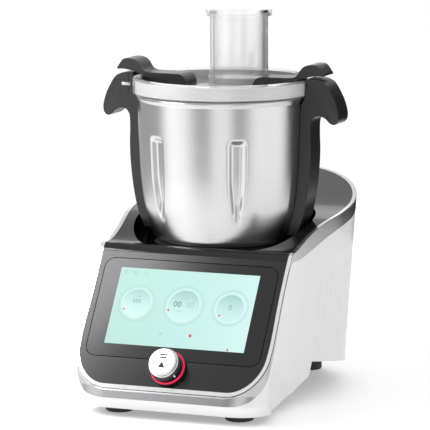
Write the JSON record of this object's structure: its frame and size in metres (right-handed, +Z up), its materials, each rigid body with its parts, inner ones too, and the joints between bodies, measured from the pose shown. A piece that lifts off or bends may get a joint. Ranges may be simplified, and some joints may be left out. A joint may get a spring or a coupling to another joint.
{
  "type": "cooking food processor",
  "caption": "Counter-top cooking food processor: steel bowl with hooked handles and clear lid on a white base with a sloped touch display and a rotary knob.",
  "frame": {"origin": "on the floor, on the vertical axis of the bowl", "axes": "-Y is the front with the display, +Z is up"},
  "size_m": [0.2664, 0.3658, 0.405],
  "materials": {
    "white_plastic": "semi-gloss",
    "satin_silver": "satin",
    "bright_trim": "polished",
    "black_gloss": "gloss",
    "dark_bezel": "gloss",
    "display_glass": "lit display glass",
    "dark_grip": "satin",
    "black_plastic": "matte",
    "red_light": "translucent",
    "knob_metal": "brushed",
    "bowl_steel": "brushed",
    "steel": "plain",
    "clear_plastic": "clear",
    "seal_rubber": "matte",
    "seal_silicone": "translucent",
    "foot_rubber": "matte",
    "circuit_green": "solder mask",
    "motor_steel": "plain",
    "cast_aluminium": "cast",
    "brass": "plain"
  },
  "bodies": {
    "base": {"housing_shell": "white_plastic", "bottom_plate": "black_plastic", "side_trim": "satin_silver", "front_ribbon": "bright_trim", "deck_ribbon": "bright_trim", "deck_cover": "black_gloss", "front_lip": "black_gloss", "front_bezel": "dark_bezel", "display_glass": "display_glass", "display_panel": "black_plastic", "display_board": "circuit_green", "knob_collar": "black_gloss", "knob_light_ring": "red_light", "encoder_body": "black_plastic", "bowl_seat": "black_plastic", "coupling_seal": "seal_rubber", "bowl_connector": "black_plastic", "spindle_housing": "cast_aluminium", "spindle_bearings": "steel", "drive_belt": "seal_rubber", "motor_stator": "motor_steel", "motor_bearings": "steel", "motor_bracket": "cast_aluminium", "main_board": "circuit_green", "load_cells": "cast_aluminium", "feet": "foot_rubber", "power_inlet": "black_plastic", "rocker_frame": "black_plastic", "rear_vent": "white_plastic", "housing_screws": "steel"},
    "knob_stem": {"encoder_shaft": "steel"},
    "knob": {"knob_skirt": "black_gloss", "knob_cap": "knob_metal"},
    "rocker": {"power_rocker": "black_plastic"},
    "motor_rotor": {"motor_shaft": "steel", "motor_pulley": "steel", "cooling_fan": "black_plastic"},
    "spindle": {"spindle_shaft": "steel", "drive_coupling": "cast_aluminium", "driven_pulley": "cast_aluminium"},
    "bowl": {"bowl_shell": "bowl_steel", "bowl_base": "black_plastic", "heater_plate": "cast_aluminium", "bowl_contacts": "brass", "handle_left": "dark_grip", "handle_right": "dark_grip", "handle_screws": "steel", "latch_pin": "steel", "blade_bush": "black_plastic"},
    "blades": {"blade_shaft": "steel", "blade_set": "steel"},
    "lid_gasket": {"lid_seal": "seal_silicone"},
    "lid": {"lid_cover": "clear_plastic", "lid_arm_left": "dark_grip", "lid_arm_right": "dark_grip", "arm_screws": "steel"},
    "cup": {"measuring_cup": "clear_plastic"}
  },
  "joints": [
    {"name": "knob_press", "type": "slide", "parent": "base", "child": "knob_stem", "axis": [0, 0.83, -0.5577], "range_m": [0, 0.0012], "stiffness_N_per_m": 900, "springref_m": -0.002},
    {"name": "knob_turn", "type": "hinge", "parent": "knob_stem", "child": "knob", "pos_m": [0, -0.15759, 0.0537], "axis": [0, -0.83, 0.5577], "continuous": true},
    {"name": "power_switch", "type": "hinge", "parent": "base", "child": "rocker", "pos_m": [0.0441, 0.15382, 0.051], "axis": [0.8988, -0.4384, 0], "range_deg": [0, 12]},
    {"name": "motor_spin", "type": "hinge", "parent": "base", "child": "motor_rotor", "pos_m": [0, 0.108, 0.1], "axis": [0, 0, 1], "continuous": true},
    {"name": "spindle_spin", "type": "hinge", "parent": "base", "child": "spindle", "pos_m": [0, 0, 0.1], "axis": [0, 0, 1], "continuous": true},
    {"name": "bowl_lift", "type": "slide", "parent": "base", "child": "bowl", "axis": [0, 0, 1], "range_m": [0, 0.25]},
    {"name": "blade_spin", "type": "hinge", "parent": "bowl", "child": "blades", "pos_m": [0, 0, 0.18], "axis": [0, 0, 1], "continuous": true},
    {"name": "lid_lift", "type": "slide", "parent": "bowl", "child": "lid_gasket", "axis": [0, 0, 1], "range_m": [0, 0.12]},
    {"name": "lid_turn", "type": "hinge", "parent": "lid_gasket", "child": "lid", "pos_m": [0, 0, 0.326], "axis": [0, 0, 1], "range_deg": [0, 30]},
    {"name": "cup_lift", "type": "slide", "parent": "lid", "child": "cup", "axis": [0, 0, 1], "range_m": [0, 0.1]}
  ],
  "couplings": [
    {"joint": "spindle_spin", "follows": "motor_spin", "ratio": 0.28571},
    {"joint": "blade_spin", "follows": "motor_spin", "ratio": 0.28571}
  ]
}
